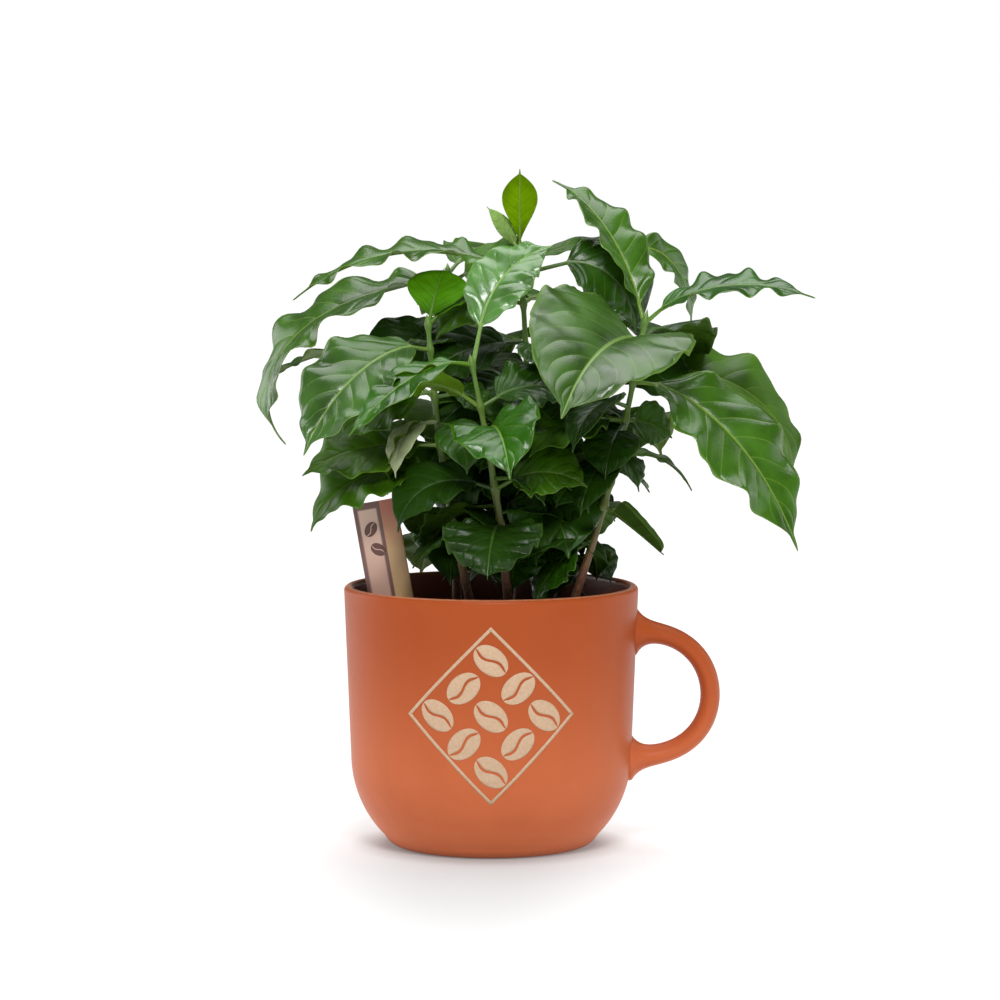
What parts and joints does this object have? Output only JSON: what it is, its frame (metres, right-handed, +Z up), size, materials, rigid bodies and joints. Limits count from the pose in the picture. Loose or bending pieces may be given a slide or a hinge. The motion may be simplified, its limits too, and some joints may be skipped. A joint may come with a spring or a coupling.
{
  "type": "potted coffee plant",
  "caption": "Young coffee seedlings with glossy, wavy leaves growing together in a wide terracotta stoneware mug with an ear handle, with a small card standing in the soil.",
  "frame": {"origin": "centre of the mug's flat underside", "axes": "+Z up, +X towards the mug's handle, +Y to the back of the plant"},
  "size_m": [0.2314, 0.1853, 0.2758],
  "materials": {
    "mug_body": "matt orange-brown stoneware with a dark glazed inside",
    "mug_handle": "matt orange-brown stoneware",
    "soil": "dark crumbly potting soil",
    "card": "satin printed card",
    "stems": "green stem, brown and woody at its foot",
    "leaves": "glossy dark green leaves"
  },
  "bodies": {
    "root": {"mug_body": "mug_body", "mug_handle": "mug_handle", "potting_soil": "soil", "plant_card": "card", "stem_tall": "stems", "stem_left": "stems", "stem_centre": "stems", "stem_right": "stems", "stem_rear_left": "stems", "stem_rear_right": "stems", "leaves_tall_1": "leaves", "leaves_tall_2": "leaves", "leaves_tall_3": "leaves", "leaves_tall_4": "leaves", "leaves_tall_5": "leaves", "leaves_tall_6": "leaves", "leaves_tall_7": "leaves", "leaves_tall_8": "leaves", "leaves_left_1": "leaves", "leaves_left_2": "leaves", "leaves_left_3": "leaves", "leaves_left_4": "leaves", "leaves_left_5": "leaves", "leaves_left_6": "leaves", "leaves_centre_1": "leaves", "leaves_centre_2": "leaves", "leaves_centre_3": "leaves", "leaves_centre_4": "leaves", "leaves_centre_5": "leaves", "leaves_right_1": "leaves", "leaves_right_2": "leaves", "leaves_right_3": "leaves", "leaves_right_4": "leaves", "leaves_right_5": "leaves", "leaves_right_6": "leaves", "leaves_rear_left_1": "leaves", "leaves_rear_left_2": "leaves", "leaves_rear_left_3": "leaves", "leaves_rear_left_4": "leaves", "leaves_rear_left_5": "leaves", "leaves_rear_left_6": "leaves", "leaves_rear_left_7": "leaves", "leaves_rear_right_1": "leaves", "leaves_rear_right_2": "leaves", "leaves_rear_right_3": "leaves", "leaves_rear_right_4": "leaves", "leaves_rear_right_5": "leaves", "leaves_rear_right_6": "leaves", "leaves_rear_right_7": "leaves"}
  },
  "joints": []
}
